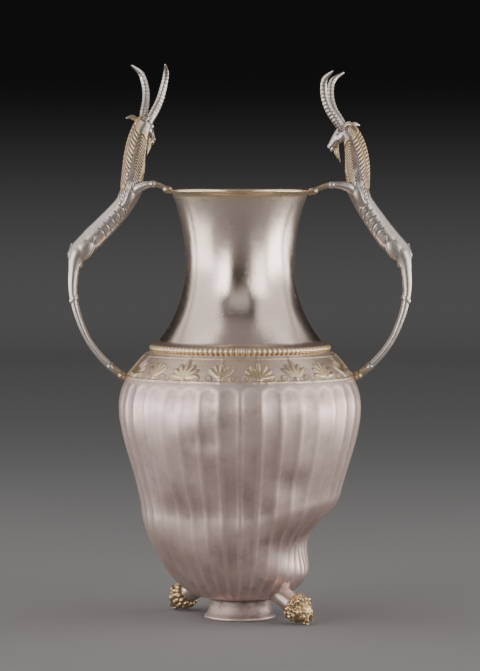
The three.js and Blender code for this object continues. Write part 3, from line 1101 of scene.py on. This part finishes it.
@dataclass
class Ibex:
    """A cast handle, an ibex that rears between the shoulder and the lip. Its points are shares
    [out, across, up] of its span from the hind hooves to the forehooves."""

    name: str
    node: str
    vessel: Vessel
    mirrored: bool
    pose: Pose
    hoof_height: float = 153.0
    forehoof_drop: float = 1.8
    leg_spread: float = 6.0
    voxel: float = 0.00038
    neck_top: Place = (0.272, 0.0, 1.27)

    def __post_init__(self) -> None:
        """Works out where the figure stands and how its head is turned."""
        hind = Vector((self.vessel.shoulder.radius_at(self.hoof_height), 0.0, self.hoof_height)) * MM
        fore = Vector((self.vessel.rim_radius, 0.0, self.vessel.rim_height - self.forehoof_drop)) * MM
        self.span = (fore - hind).length
        up = (fore - hind).normalized()
        out = Vector((up.z, 0.0, -up.x))
        turn = Matrix((out, Vector((0.0, 1.0, 0.0)), up)).transposed().to_4x4()
        self.body = Matrix.Translation(hind) @ turn @ Matrix.Scale(self.span, 4)
        top = self.pose.bend(self.neck_top)
        pivot = Matrix.Translation(self.body @ top)
        swing = Matrix.Rotation(math.radians(-self.pose.head_turn), 4, "Z")
        shift = Matrix.Translation(top - Vector(self.neck_top))
        self.head = pivot @ swing @ pivot.inverted() @ self.body @ shift

    def on_body(self, points: Sequence[Place]) -> list[Vector]:
        """Puts share points of the body in place, in metres."""
        return [self.body @ self.pose.bend(p) for p in points]

    def on_head(self, points: Sequence[Place]) -> list[Vector]:
        """Puts share points of the head in place, in metres."""
        return [self.head @ Vector(p) for p in points]

    def trunk(self, points: Sequence[Place], thick: Sequence[Share], sides: int,
              steps: int) -> bmesh.types.BMesh:
        """Makes a limb of the body, bent as the figure is."""
        return limb([self.pose.bend(p) for p in points], thick, self.body, sides, steps)

    def muscle(self, centre: Place, radii: Place, pitch: float = 0.0) -> bmesh.types.BMesh:
        """Makes a lump on the body, moved as the figure is bent."""
        return lump(self.pose.bend(centre), radii, self.body, pitch)

    def flesh(self) -> list[bmesh.types.BMesh]:
        """Makes the trunk, the neck, the head and the tail.

        Returns:
            Closed meshes that overlap.
        """
        head = self.head
        parts = [
            self.trunk(
                [(0.376, 0, 0.50), (0.40, 0, 0.56), (0.345, 0, 0.67), (0.303, 0, 0.78), (0.268, 0, 0.89),
                 (0.252, 0, 0.975), (0.24, 0, 1.01)],
                [(0.018, 0.02), (0.054, 0.05), (0.06, 0.05), (0.056, 0.046), (0.052, 0.047), (0.058, 0.05),
                 (0.03, 0.03)], 24, 48),
            self.trunk(
                [(0.255, 0, 0.93), (0.264, 0, 0.98), (0.272, 0, 1.06), (0.286, 0, 1.15), (0.284, 0, 1.235),
                 (0.262, 0, 1.30)],
                [(0.045, 0.042), (0.058, 0.048), (0.062, 0.042), (0.056, 0.037), (0.046, 0.033),
                 (0.034, 0.03)], 24, 40),
            limb([(0.289, 0, 1.318), (0.264, 0, 1.305), (0.225, 0, 1.275), (0.18, 0, 1.24), (0.16, 0, 1.224)],
                 [(0.016, 0.018), (0.038, 0.034), (0.035, 0.028), (0.023, 0.019), (0.012, 0.013)],
                 head, 24, 36),
            limb([(0.203, 0, 1.25), (0.191, 0, 1.187), (0.20, 0, 1.135)],
                 [(0.013, 0.01), (0.015, 0.01), (0.004, 0.004)], head, 14, 18),
            self.trunk([(0.396, 0, 0.55), (0.436, 0, 0.575), (0.442, 0, 0.62)],
                       [(0.016, 0.014), (0.014, 0.012), (0.005, 0.005)], 14, 12),
            self.trunk(
                [(0.29, 0, 1.335), (0.322, 0, 1.285), (0.342, 0, 1.20), (0.342, 0, 1.11), (0.33, 0, 1.02),
                 (0.312, 0, 0.93)],
                [(0.008, 0.006), (0.013, 0.009), (0.014, 0.010), (0.014, 0.010), (0.012, 0.009),
                 (0.006, 0.006)], 14, 40),
            lump((0.165, 0, 1.232), (0.018, 0.017, 0.018), head, pitch=40.0),
            lump((0.172, 0, 1.214), (0.018, 0.013, 0.010), head, pitch=-38.0),
        ]
        for side in (-1, 1):
            parts += [
                lump((0.240, side * 0.018, 1.266), (0.034, 0.016, 0.024), head, pitch=-38.0),
                lump((0.232, side * 0.022, 1.300), (0.018, 0.011, 0.012), head, pitch=-38.0),
                lump((0.226, side * 0.0295, 1.288), (0.0105, 0.006, 0.0095), head, pitch=-38.0),
                self.muscle((0.262, side * 0.034, 0.925), (0.040, 0.020, 0.064), pitch=-10.0),
                self.muscle((0.368, side * 0.034, 0.605), (0.048, 0.022, 0.072), pitch=-24.0),
                self.muscle((0.278, side * 0.030, 1.03), (0.034, 0.018, 0.06), pitch=6.0),
            ]
        return parts

    def limbs(self) -> list[bmesh.types.BMesh]:
        """Makes the legs with their joints and hooves, the horns and the ears.

        Returns:
            Closed meshes that overlap.
        """
        spread = self.leg_spread * MM / self.span
        hind = [(0.333, 0.024, 0.67), (0.395, 0.03, 0.575), (0.40, 0.034, 0.49), (0.366, 0.038, 0.335),
                (0.244, 0.045, 0.141), (0.10, spread, 0.03), (-0.02, spread, -0.02)]
        fore = [(0.25, 0.022, 0.93), (0.21, 0.036, 0.98), (0.12, spread, 1.015), (0.05, spread, 1.012),
                (-0.02, spread, 1.0)]
        horn = [(0.255, 0.016, 1.30), (0.234, 0.03, 1.355), (0.21, 0.042, 1.425), (0.207, 0.055, 1.50),
                (0.232, 0.078, 1.573), (0.295, 0.105, 1.605)]
        ear = [(0.262, 0.006, 1.288), (0.30, 0.055, 1.318), (0.325, 0.08, 1.308)]
        parts = []
        for side in (-1, 1):
            parts += [
                self.trunk(sided(hind, side),
                           [(0.03, 0.02), (0.044, 0.026), (0.028, 0.02), (0.019, 0.016), (0.0155, 0.0145),
                            (0.017, 0.016), (0.020, 0.020)], 20, 90),
                self.trunk(sided(fore, side),
                           [(0.03, 0.018), (0.026, 0.02), (0.016, 0.015), (0.014, 0.013), (0.016, 0.016)],
                           18, 50),
                limb(sided(horn, side),
                     [(0.023, 0.02), (0.025, 0.021), (0.023, 0.020), (0.021, 0.019), (0.017, 0.016),
                      (0.005, 0.005)],
                     self.head, 18, 150, self.horn_rib),
                limb(sided(ear, side), [(0.014, 0.014), (0.016, 0.009), (0.004, 0.004)], self.head, 14, 16),
                self.muscle((0.366, side * 0.038, 0.335), (0.021, 0.018, 0.03), pitch=-20.0),
                self.muscle((0.12, side * spread, 1.014), (0.022, 0.019, 0.020)),
                self.muscle((0.10, side * spread, 0.032), (0.021, 0.019, 0.019)),
                self.muscle((0.028, side * spread, -0.002), (0.026, 0.024, 0.023), pitch=-24.0),
                self.muscle((0.012, side * spread, 1.004), (0.028, 0.020, 0.021), pitch=8.0),
            ]
        return parts

    @staticmethod
    def horn_rib(share: float) -> float:
        """Gives the rings that stand out round a horn, fading towards its tip."""
        return 1.0 + 0.13 * (abs(math.cos(math.pi * share * 19.0)) ** 0.7 - 0.5) * (1.0 - share ** 4)

    def hair(self) -> list[list[Vector]]:
        """Gives the chased strands of the mane, the throat and the beard.

        Returns:
            Lines in place, in metres.
        """
        strands = []
        for side in (-1, 1):
            for i in range(17):
                t = i / 16
                top = (0.330 + 0.022 * math.sin(math.pi * (0.2 + 0.7 * t)), 0.008, 1.28 - 0.34 * t)
                low = (top[0] - 0.058, 0.042, top[2] - 0.050)
                middle = ((top[0] + low[0]) / 2 + 0.012, 0.032, (top[2] + low[2]) / 2)
                throat = (0.228 + 0.01 * t, 0.012, 1.20 - 0.22 * t)
                fall = ((low[0] + throat[0]) / 2, 0.04, throat[2] + 0.03)
                strands.append(self.on_body(sided([top, middle, low], side)))
                strands.append(self.on_body(sided([low, fall, throat], side)))
            for shift in (-0.005, 0.0, 0.005):
                lock = ((0.196, 0.008, 1.215), (0.191, 0.009, 1.18), (0.198, 0.004, 1.142))
                hung = [(out + shift, across, up) for out, across, up in lock]
                strands.append(self.on_head(sided(hung, side)))
        return strands

    def creases(self) -> list[list[Vector]]:
        """Gives the ribs, the outlines of shoulder and haunch, the mouth and the hooves' clefts.

        Returns:
            Lines in place, in metres.
        """
        spread = self.leg_spread * MM / self.span
        body = [
            ((0.296, 0.045, 0.99), (0.304, 0.052, 0.93), (0.280, 0.052, 0.868), (0.240, 0.045, 0.862)),
            ((0.335, 0.045, 0.688), (0.322, 0.052, 0.62), (0.345, 0.05, 0.55), (0.38, 0.045, 0.52)),
            ((0.05, spread, 0.03), (0.03, spread, 0.022), (0.0, spread, 0.016)),
            ((0.04, spread, 1.03), (0.02, spread, 1.025), (-0.004, spread, 1.02)),
        ]
        for i in range(5):
            up = 0.862 - 0.036 * i
            back = 0.315 - 0.30 * (up - 0.78)
            front = back - 0.066
            body.append(((back, 0.035, up + 0.012), (back - 0.032, 0.05, up), (front, 0.035, up - 0.028)))
        head = [
            ((0.154, 0.004, 1.214), (0.170, 0.014, 1.222), (0.196, 0.02, 1.240)),
            ((0.212, 0.027, 1.286), (0.227, 0.033, 1.298), (0.240, 0.031, 1.290)),
            ((0.287, 0.042, 1.316), (0.303, 0.06, 1.325), (0.318, 0.074, 1.316)),
        ]
        lines = []
        for side in (-1, 1):
            lines += [self.on_body(sided(line, side)) for line in body]
            lines += [self.on_head(sided(line, side)) for line in head]
        return lines

    def make(self, material: bpy.types.Material) -> bpy.types.Object:
        """Casts, chases and finishes the figure.

        Args:
            material: The finish.

        Returns:
            The piece that stands for the handle.
        """
        mesh = fused(self.flesh() + self.limbs(), self.voxel, rounds=2)
        seat(mesh, [p for p, _ in self.vessel.outside()][4:], depth=1.0)
        chase(mesh, self.hair(), width=0.0008, depth=0.00042)
        chase(mesh, self.creases(), width=0.0007, depth=0.00032)
        nostril = [(0.152, 0.009, 1.236), (0.156, 0.012, 1.232)]
        nostrils = [self.on_head(sided(nostril, side)) for side in (-1, 1)]
        chase(mesh, nostrils, width=0.0008, depth=0.0006)
        self.dress(mesh)
        if self.mirrored:
            move_points(mesh, points_of(mesh) * (-1.0, 1.0, 1.0))
            mesh.flip_normals()
        return finished(mesh, self.name, material, [self.node])

    def dress(self, mesh: bpy.types.Mesh) -> None:
        """Paints gilding on mane, beard and hooves, and tarnish in the hollows.

        Args:
            mesh: The chased skin, before it is mirrored.
        """
        place = points_of(mesh)
        nape = self.on_body([(0.32, 0, 1.29), (0.335, 0, 1.15), (0.315, 0, 0.97)])
        throat = self.on_body([(0.262, 0, 1.22), (0.252, 0, 1.12), (0.24, 0, 1.03)])
        beard = self.on_head([(0.195, 0, 1.215), (0.198, 0, 1.14)])
        gold = np.zeros(len(place))
        for line, reach in ((nape, 0.0065), (throat, 0.006), (beard, 0.0028)):
            gold = np.maximum(gold, smooth_step(near_line(place, line), reach, reach * 0.7))
        for up in (0.0, 1.0):
            hoof = self.on_body([(-0.02, 0.0, up), (0.045, 0.0, up)])
            gold = np.maximum(gold, 0.8 * smooth_step(near_line(place, hoof), 0.0105, 0.0085))
        sunk = hollows(mesh, rounds=4, reach=0.0001)
        paint(mesh, "gilding", gold * 0.9)
        paint(mesh, "polish", 0.35 + 0.45 * np.maximum(-sunk, 0.0))
        paint(mesh, "tarnish_and_shade", 0.12 + 0.75 * np.maximum(sunk, 0.0))


@dataclass
class LionSpout:
    """A gilded lion's head on a short neck low on the body, its mouth open on the wine's channel.
    Its forms are shares of its radius, along +X before it is put in place."""

    name: str
    node: str
    vessel: Vessel
    azimuth: float
    radius: float = 49.0
    height: float = 8.8
    pitch: float = 28.0
    bore: float = 1.6
    neck: float = 6.0
    head_radius: float = 8.0
    mane_radius: float = 9.4
    voxel: float = 0.00025

    def __post_init__(self) -> None:
        """Works out the matrix that puts the head in place."""
        turn = Matrix.Rotation(math.radians(self.azimuth), 4, "Z")
        there = Matrix.Translation(Vector((self.radius, 0.0, self.height)) * MM)
        droop = Matrix.Rotation(math.radians(self.pitch), 4, "Y")
        self.place = turn @ there @ droop @ Matrix.Scale(self.head_radius * MM, 4)

    def face(self) -> list[bmesh.types.BMesh]:
        """Makes the skull, the muzzle, the brows, the eyes and the ears.

        Returns:
            Closed meshes that overlap.
        """
        put = self.place
        parts = [
            lump((0.0, 0, 0.0), (1.0, 0.92, 0.95), put),
            lump((0.70, 0, -0.10), (0.58, 0.50, 0.44), put),
            lump((0.78, 0, 0.20), (0.52, 0.20, 0.20), put, pitch=18.0),
            lump((1.24, 0, 0.04), (0.13, 0.22, 0.13), put, pitch=-10.0),
            lump((0.92, 0, -0.58), (0.30, 0.27, 0.13), put, pitch=-6.0),
            lump((0.46, 0, 0.50), (0.56, 0.26, 0.26), put, pitch=28.0),
        ]
        for side in (-1, 1):
            parts += [
                lump((1.02, side * 0.22, -0.17), (0.30, 0.24, 0.21), put, pitch=8.0),
                lump((0.60, side * 0.46, -0.12), (0.38, 0.30, 0.36), put),
                lump((0.66, side * 0.36, 0.42), (0.30, 0.26, 0.12), put, pitch=24.0, roll=side * -14.0),
                lump((0.80, side * 0.37, 0.22), (0.13, 0.15, 0.12), put),
                lump((-0.12, side * 0.74, 0.70), (0.16, 0.30, 0.30), put),
                lump((0.36, side * 0.74, 0.10), (0.30, 0.20, 0.34), put),
            ]
        return parts

    def mane(self) -> list[bmesh.types.BMesh]:
        """Makes the ruff with its flame-shaped locks, and the neck that runs into the wall.

        Returns:
            Closed meshes that overlap.
        """
        wide = self.mane_radius / self.head_radius
        parts = [lump((-0.5, 0, 0), (0.45, wide * 0.93, wide * 0.93), self.place)]
        rows = ((0.12, 13, 0.80), (-0.24, 15, 0.92), (-0.60, 15, 0.92))
        for row, (along, count, reach) in enumerate(rows):
            for i in range(count):
                angle = 360.0 * (i + 0.5 * (row % 2)) / count
                turn = Matrix.Rotation(math.radians(angle), 4, "X")
                lean = Matrix.Rotation(math.radians(14.0), 4, "X")
                spot = self.place @ turn @ Matrix.Translation((along, 0.0, reach)) @ lean
                parts.append(lump((0, 0, 0), (0.26, 0.18, 0.22), spot, pitch=-28.0))
        back = (self.radius - self.vessel.foot_waist) / self.head_radius
        slim = self.neck / self.head_radius
        thick = [(slim * 1.2, slim * 1.2), (slim * 1.1, slim * 1.1), (slim, slim)]
        parts.append(limb([(-back, 0, 0), (-back / 2, 0, 0), (0, 0, 0)], thick, self.place, 40, 30))
        return parts

    def both_sides(self, *lines: Sequence[Place]) -> list[list[Vector]]:
        """Puts lines in place, on both sides of the face."""
        return [[self.place @ Vector(p) for p in sided(line, side)] for side in (-1, 1) for line in lines]

    def make(self, material: bpy.types.Material) -> bpy.types.Object:
        """Casts, bores and finishes the head.

        Args:
            material: The finish.

        Returns:
            The piece that stands for the spout.
        """
        bm = bmesh.new()
        slim = self.bore / self.head_radius
        bmesh.ops.create_cone(bm, cap_ends=True, segments=24, radius1=slim, radius2=slim * 1.35, depth=3.0,
                              matrix=self.place @ Matrix.Rotation(math.pi / 2, 4, "Y"))
        channel = mesh_of(bm, "channel")
        mesh = fused(self.face() + self.mane(), self.voxel, rounds=2, cutter=channel)
        bpy.data.meshes.remove(channel)
        seat(mesh, [p for p, _ in self.vessel.outside()][4:], depth=1.2)
        lip = ((1.26, 0.02, -0.30), (1.14, 0.30, -0.34), (0.84, 0.46, -0.38))
        whisker = ((1.22, 0.12, -0.10), (1.16, 0.30, -0.10), (1.0, 0.44, -0.06))
        frown = ((0.96, 0.06, 0.44), (0.92, 0.10, 0.62))
        lid = ((0.92, 0.26, 0.28), (0.88, 0.38, 0.34), (0.78, 0.50, 0.28))
        ear_hole = ((0.1, 0.74, 0.72), (0.1, 0.76, 0.76))
        chase(mesh, self.both_sides(lip, whisker, frown, lid), width=0.0006, depth=0.0003)
        chase(mesh, self.both_sides(ear_hole), width=0.0013, depth=0.0007)
        sunk = hollows(mesh, rounds=5, reach=0.0001)
        back = [self.place @ Vector((along, 0.0, 0.0)) for along in (-0.55, 2.0)]
        behind = (points_of(mesh) - np.array(back[0])) @ np.array((back[1] - back[0]).normalized())
        gold = smooth_step(behind, -0.004, -0.001)
        paint(mesh, "gilding", gold * (0.95 - 0.35 * np.maximum(-sunk, 0.0)))
        paint(mesh, "polish", np.full(len(mesh.vertices), 0.3))
        paint(mesh, "tarnish_and_shade", 0.14 + 0.8 * np.maximum(sunk, 0.0))
        return finished(mesh, self.name, material, [self.node])


@dataclass(frozen=True)
class SoftBox:
    """One soft lamp of the studio, aimed at the object.

    Args:
        name: Name of the lamp.
        azimuth: Direction that it stands in, in degrees.
        distance: How far from the axis it stands, in metres.
        height: Height of its middle, in metres.
        width: Its width, in metres.
        tall: Its height, in metres.
        power: Its power, in watts.
        colour: Its colour.
    """

    name: str
    azimuth: float
    distance: float
    height: float
    width: float
    tall: float
    power: float
    colour: Place = (1.0, 1.0, 1.0)

    def add(self, target: Vector) -> None:
        """Puts the lamp in the scene, facing target.

        Args:
            target: The point that it faces.
        """
        light = bpy.data.lights.new(self.name, "AREA")
        light.shape = "RECTANGLE"
        light.size = self.width
        light.size_y = self.tall
        light.energy = self.power
        light.color = self.colour
        lamp = placed(self.name, light)
        angle = math.radians(self.azimuth)
        lamp.location = (self.distance * math.cos(angle), self.distance * math.sin(angle), self.height)
        lamp.visible_camera = False
        lamp.rotation_euler = (target - lamp.location).to_track_quat("-Z", "Y").to_euler()


@dataclass
class Studio:
    """The plain pale floor that sweeps up into a backdrop, with painted light and shade graded over
    both, the soft lamps and the camera. Sizes are in metres, and the lens in millimetres."""

    floor_radius: float = 3.0
    curve: float = 1.5
    wall_height: float = 5.0
    # Painted light and shade: colour by the vessel, middle further out and rear on the far curve grade the
    # light's fall-off, and far is the painted shade high on the backdrop.
    colour: Place = (0.295, 0.285, 0.282)
    middle: Place = (0.245, 0.241, 0.242)
    rear: Place = (0.42, 0.41, 0.415)
    far: Place = (0.024, 0.0235, 0.025)
    air_colour: Place = (0.9, 0.88, 0.86)
    air_strength: float = 0.27
    lamp_aim: Place = (0.0, 0.0, 0.17)
    lens: float = 107.9
    eye: Place = (0.0, -1.9, 0.271)
    aim: Place = (0.0, 0.0, 0.1786)
    lamps: tuple[SoftBox, ...] = (
        SoftBox("lamp_left", 183.0, 1.5, 1.0, 2.6, 2.5, 21.5),
        SoftBox("lamp_right", -3.0, 1.6, 1.0, 2.6, 2.5, 19.0),
        SoftBox("lamp_above", -90.0, 2.6, 1.6, 1.8, 0.9, 3.0),
        SoftBox("lamp_front_left", -130.0, 2.0, 0.5, 0.9, 0.9, 12.8),
        SoftBox("lamp_front_right", -50.0, 2.0, 0.5, 0.9, 0.9, 9.6),
        SoftBox("lamp_low_left", 182.0, 0.85, 0.13, 1.0, 0.24, 2.2),
        SoftBox("lamp_low_right", -2.0, 0.85, 0.13, 1.0, 0.24, 3.6),
    )

    def sweep(self) -> None:
        """Makes the floor and the round backdrop as one turned sheet."""
        bm = bmesh.new()
        rail = [(0.0, 0.0), (self.floor_radius * 0.5, 0.0), (self.floor_radius, 0.0)]
        for i in range(1, 13):
            angle = math.pi / 2 * i / 12
            out = self.floor_radius + self.curve * math.sin(angle)
            rail.append((out, self.curve * (1.0 - math.cos(angle))))
        rail.append((self.floor_radius + self.curve, self.wall_height))
        chain = [bm.verts.new((r, 0.0, z)) for r, z in rail]
        turned(bm, chain, 96)
        bmesh.ops.recalc_face_normals(bm, faces=bm.faces)
        mesh = mesh_of(bm, "backdrop")
        mesh.polygons.foreach_set("use_smooth", [True] * len(mesh.polygons))
        backdrop = placed("backdrop", mesh)
        paper = bpy.data.materials.new("backdrop paper")
        paper.use_nodes = True
        graph = Graph(paper.node_tree)
        shader = graph.nodes["Principled BSDF"]
        split = graph.nodes.new("ShaderNodeSeparateXYZ")
        graph.link(graph.place, split.inputs["Vector"])
        away = graph.nodes.new("ShaderNodeVectorMath")
        away.operation = "LENGTH"
        graph.link(graph.place, away.inputs[0])
        # The floor is painted darker away from the vessel and lighter again on the far curve, and the
        # backdrop darker with height: painted light and shade.
        reach = graph.ramp(away.outputs["Value"], 0.1, 1.3)
        near = graph.mix(reach, (*self.colour, 1.0), (*self.middle, 1.0))
        near = graph.mix(graph.ramp(away.outputs["Value"], 1.2, 3.6), near, (*self.rear, 1.0))
        shade = graph.ramp(split.outputs["Z"], 0.0, 0.5)
        graph.link(graph.mix(shade, near, (*self.far, 1.0)), shader.inputs["Base Color"])
        shader.inputs["Roughness"].default_value = 0.9
        shader.inputs["Specular IOR Level"].default_value = 0.2
        mesh.materials.append(paper)

    def make(self) -> None:
        """Adds backdrop, lamps, a dim world and the camera."""
        self.sweep()
        for lamp in self.lamps:
            lamp.add(Vector(self.lamp_aim))
        world = bpy.data.worlds.new("studio air")
        world.use_nodes = True
        air = world.node_tree.nodes["Background"]
        air.inputs["Color"].default_value = (*self.air_colour, 1.0)
        air.inputs["Strength"].default_value = self.air_strength
        bpy.context.scene.world = world
        camera = bpy.data.cameras.new("camera")
        camera.sensor_fit = "VERTICAL"
        camera.sensor_height = 24.0
        camera.lens = self.lens
        eye = placed("camera", camera)
        eye.location = self.eye
        eye.rotation_euler = (Vector(self.aim) - eye.location).to_track_quat("-Z", "Y").to_euler()
        bpy.context.scene.camera = eye


def main() -> None:
    """Builds the pieces in order, the stage, the lights and the camera."""
    logging.basicConfig(level=logging.INFO, format="%(message)s")
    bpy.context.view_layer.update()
    silver = Finish("worn silver").make()
    cast = Finish("cast silver", satin=(0.68, 0.60, 0.54), polished=(0.80, 0.73, 0.66), rough=0.38,
                  smooth=0.24, gold=(0.54, 0.39, 0.20)).make()
    gilding = Finish("worn gilding", satin=(0.55, 0.49, 0.44), gold=(0.72, 0.50, 0.21), rough=0.4).make()
    vessel = Vessel()
    vessel.make(silver)
    right_pose = Pose(head_turn=18.0, lean=0.05, lift=-0.02)
    left_pose = Pose(head_turn=60.0, lean=0.23, lift=0.03)
    for ibex in (Ibex("ibex_right", "handle_right", vessel, mirrored=False, pose=right_pose),
                 Ibex("ibex_left", "handle_left", vessel, mirrored=True, pose=left_pose)):
        ibex.make(cast)
    for spout in (LionSpout("lion_right", "spout_right", vessel, azimuth=-40.0),
                  LionSpout("lion_left", "spout_left", vessel, azimuth=140.0)):
        spout.make(gilding)
    Studio().make()


if __name__ == "__main__":
    main()
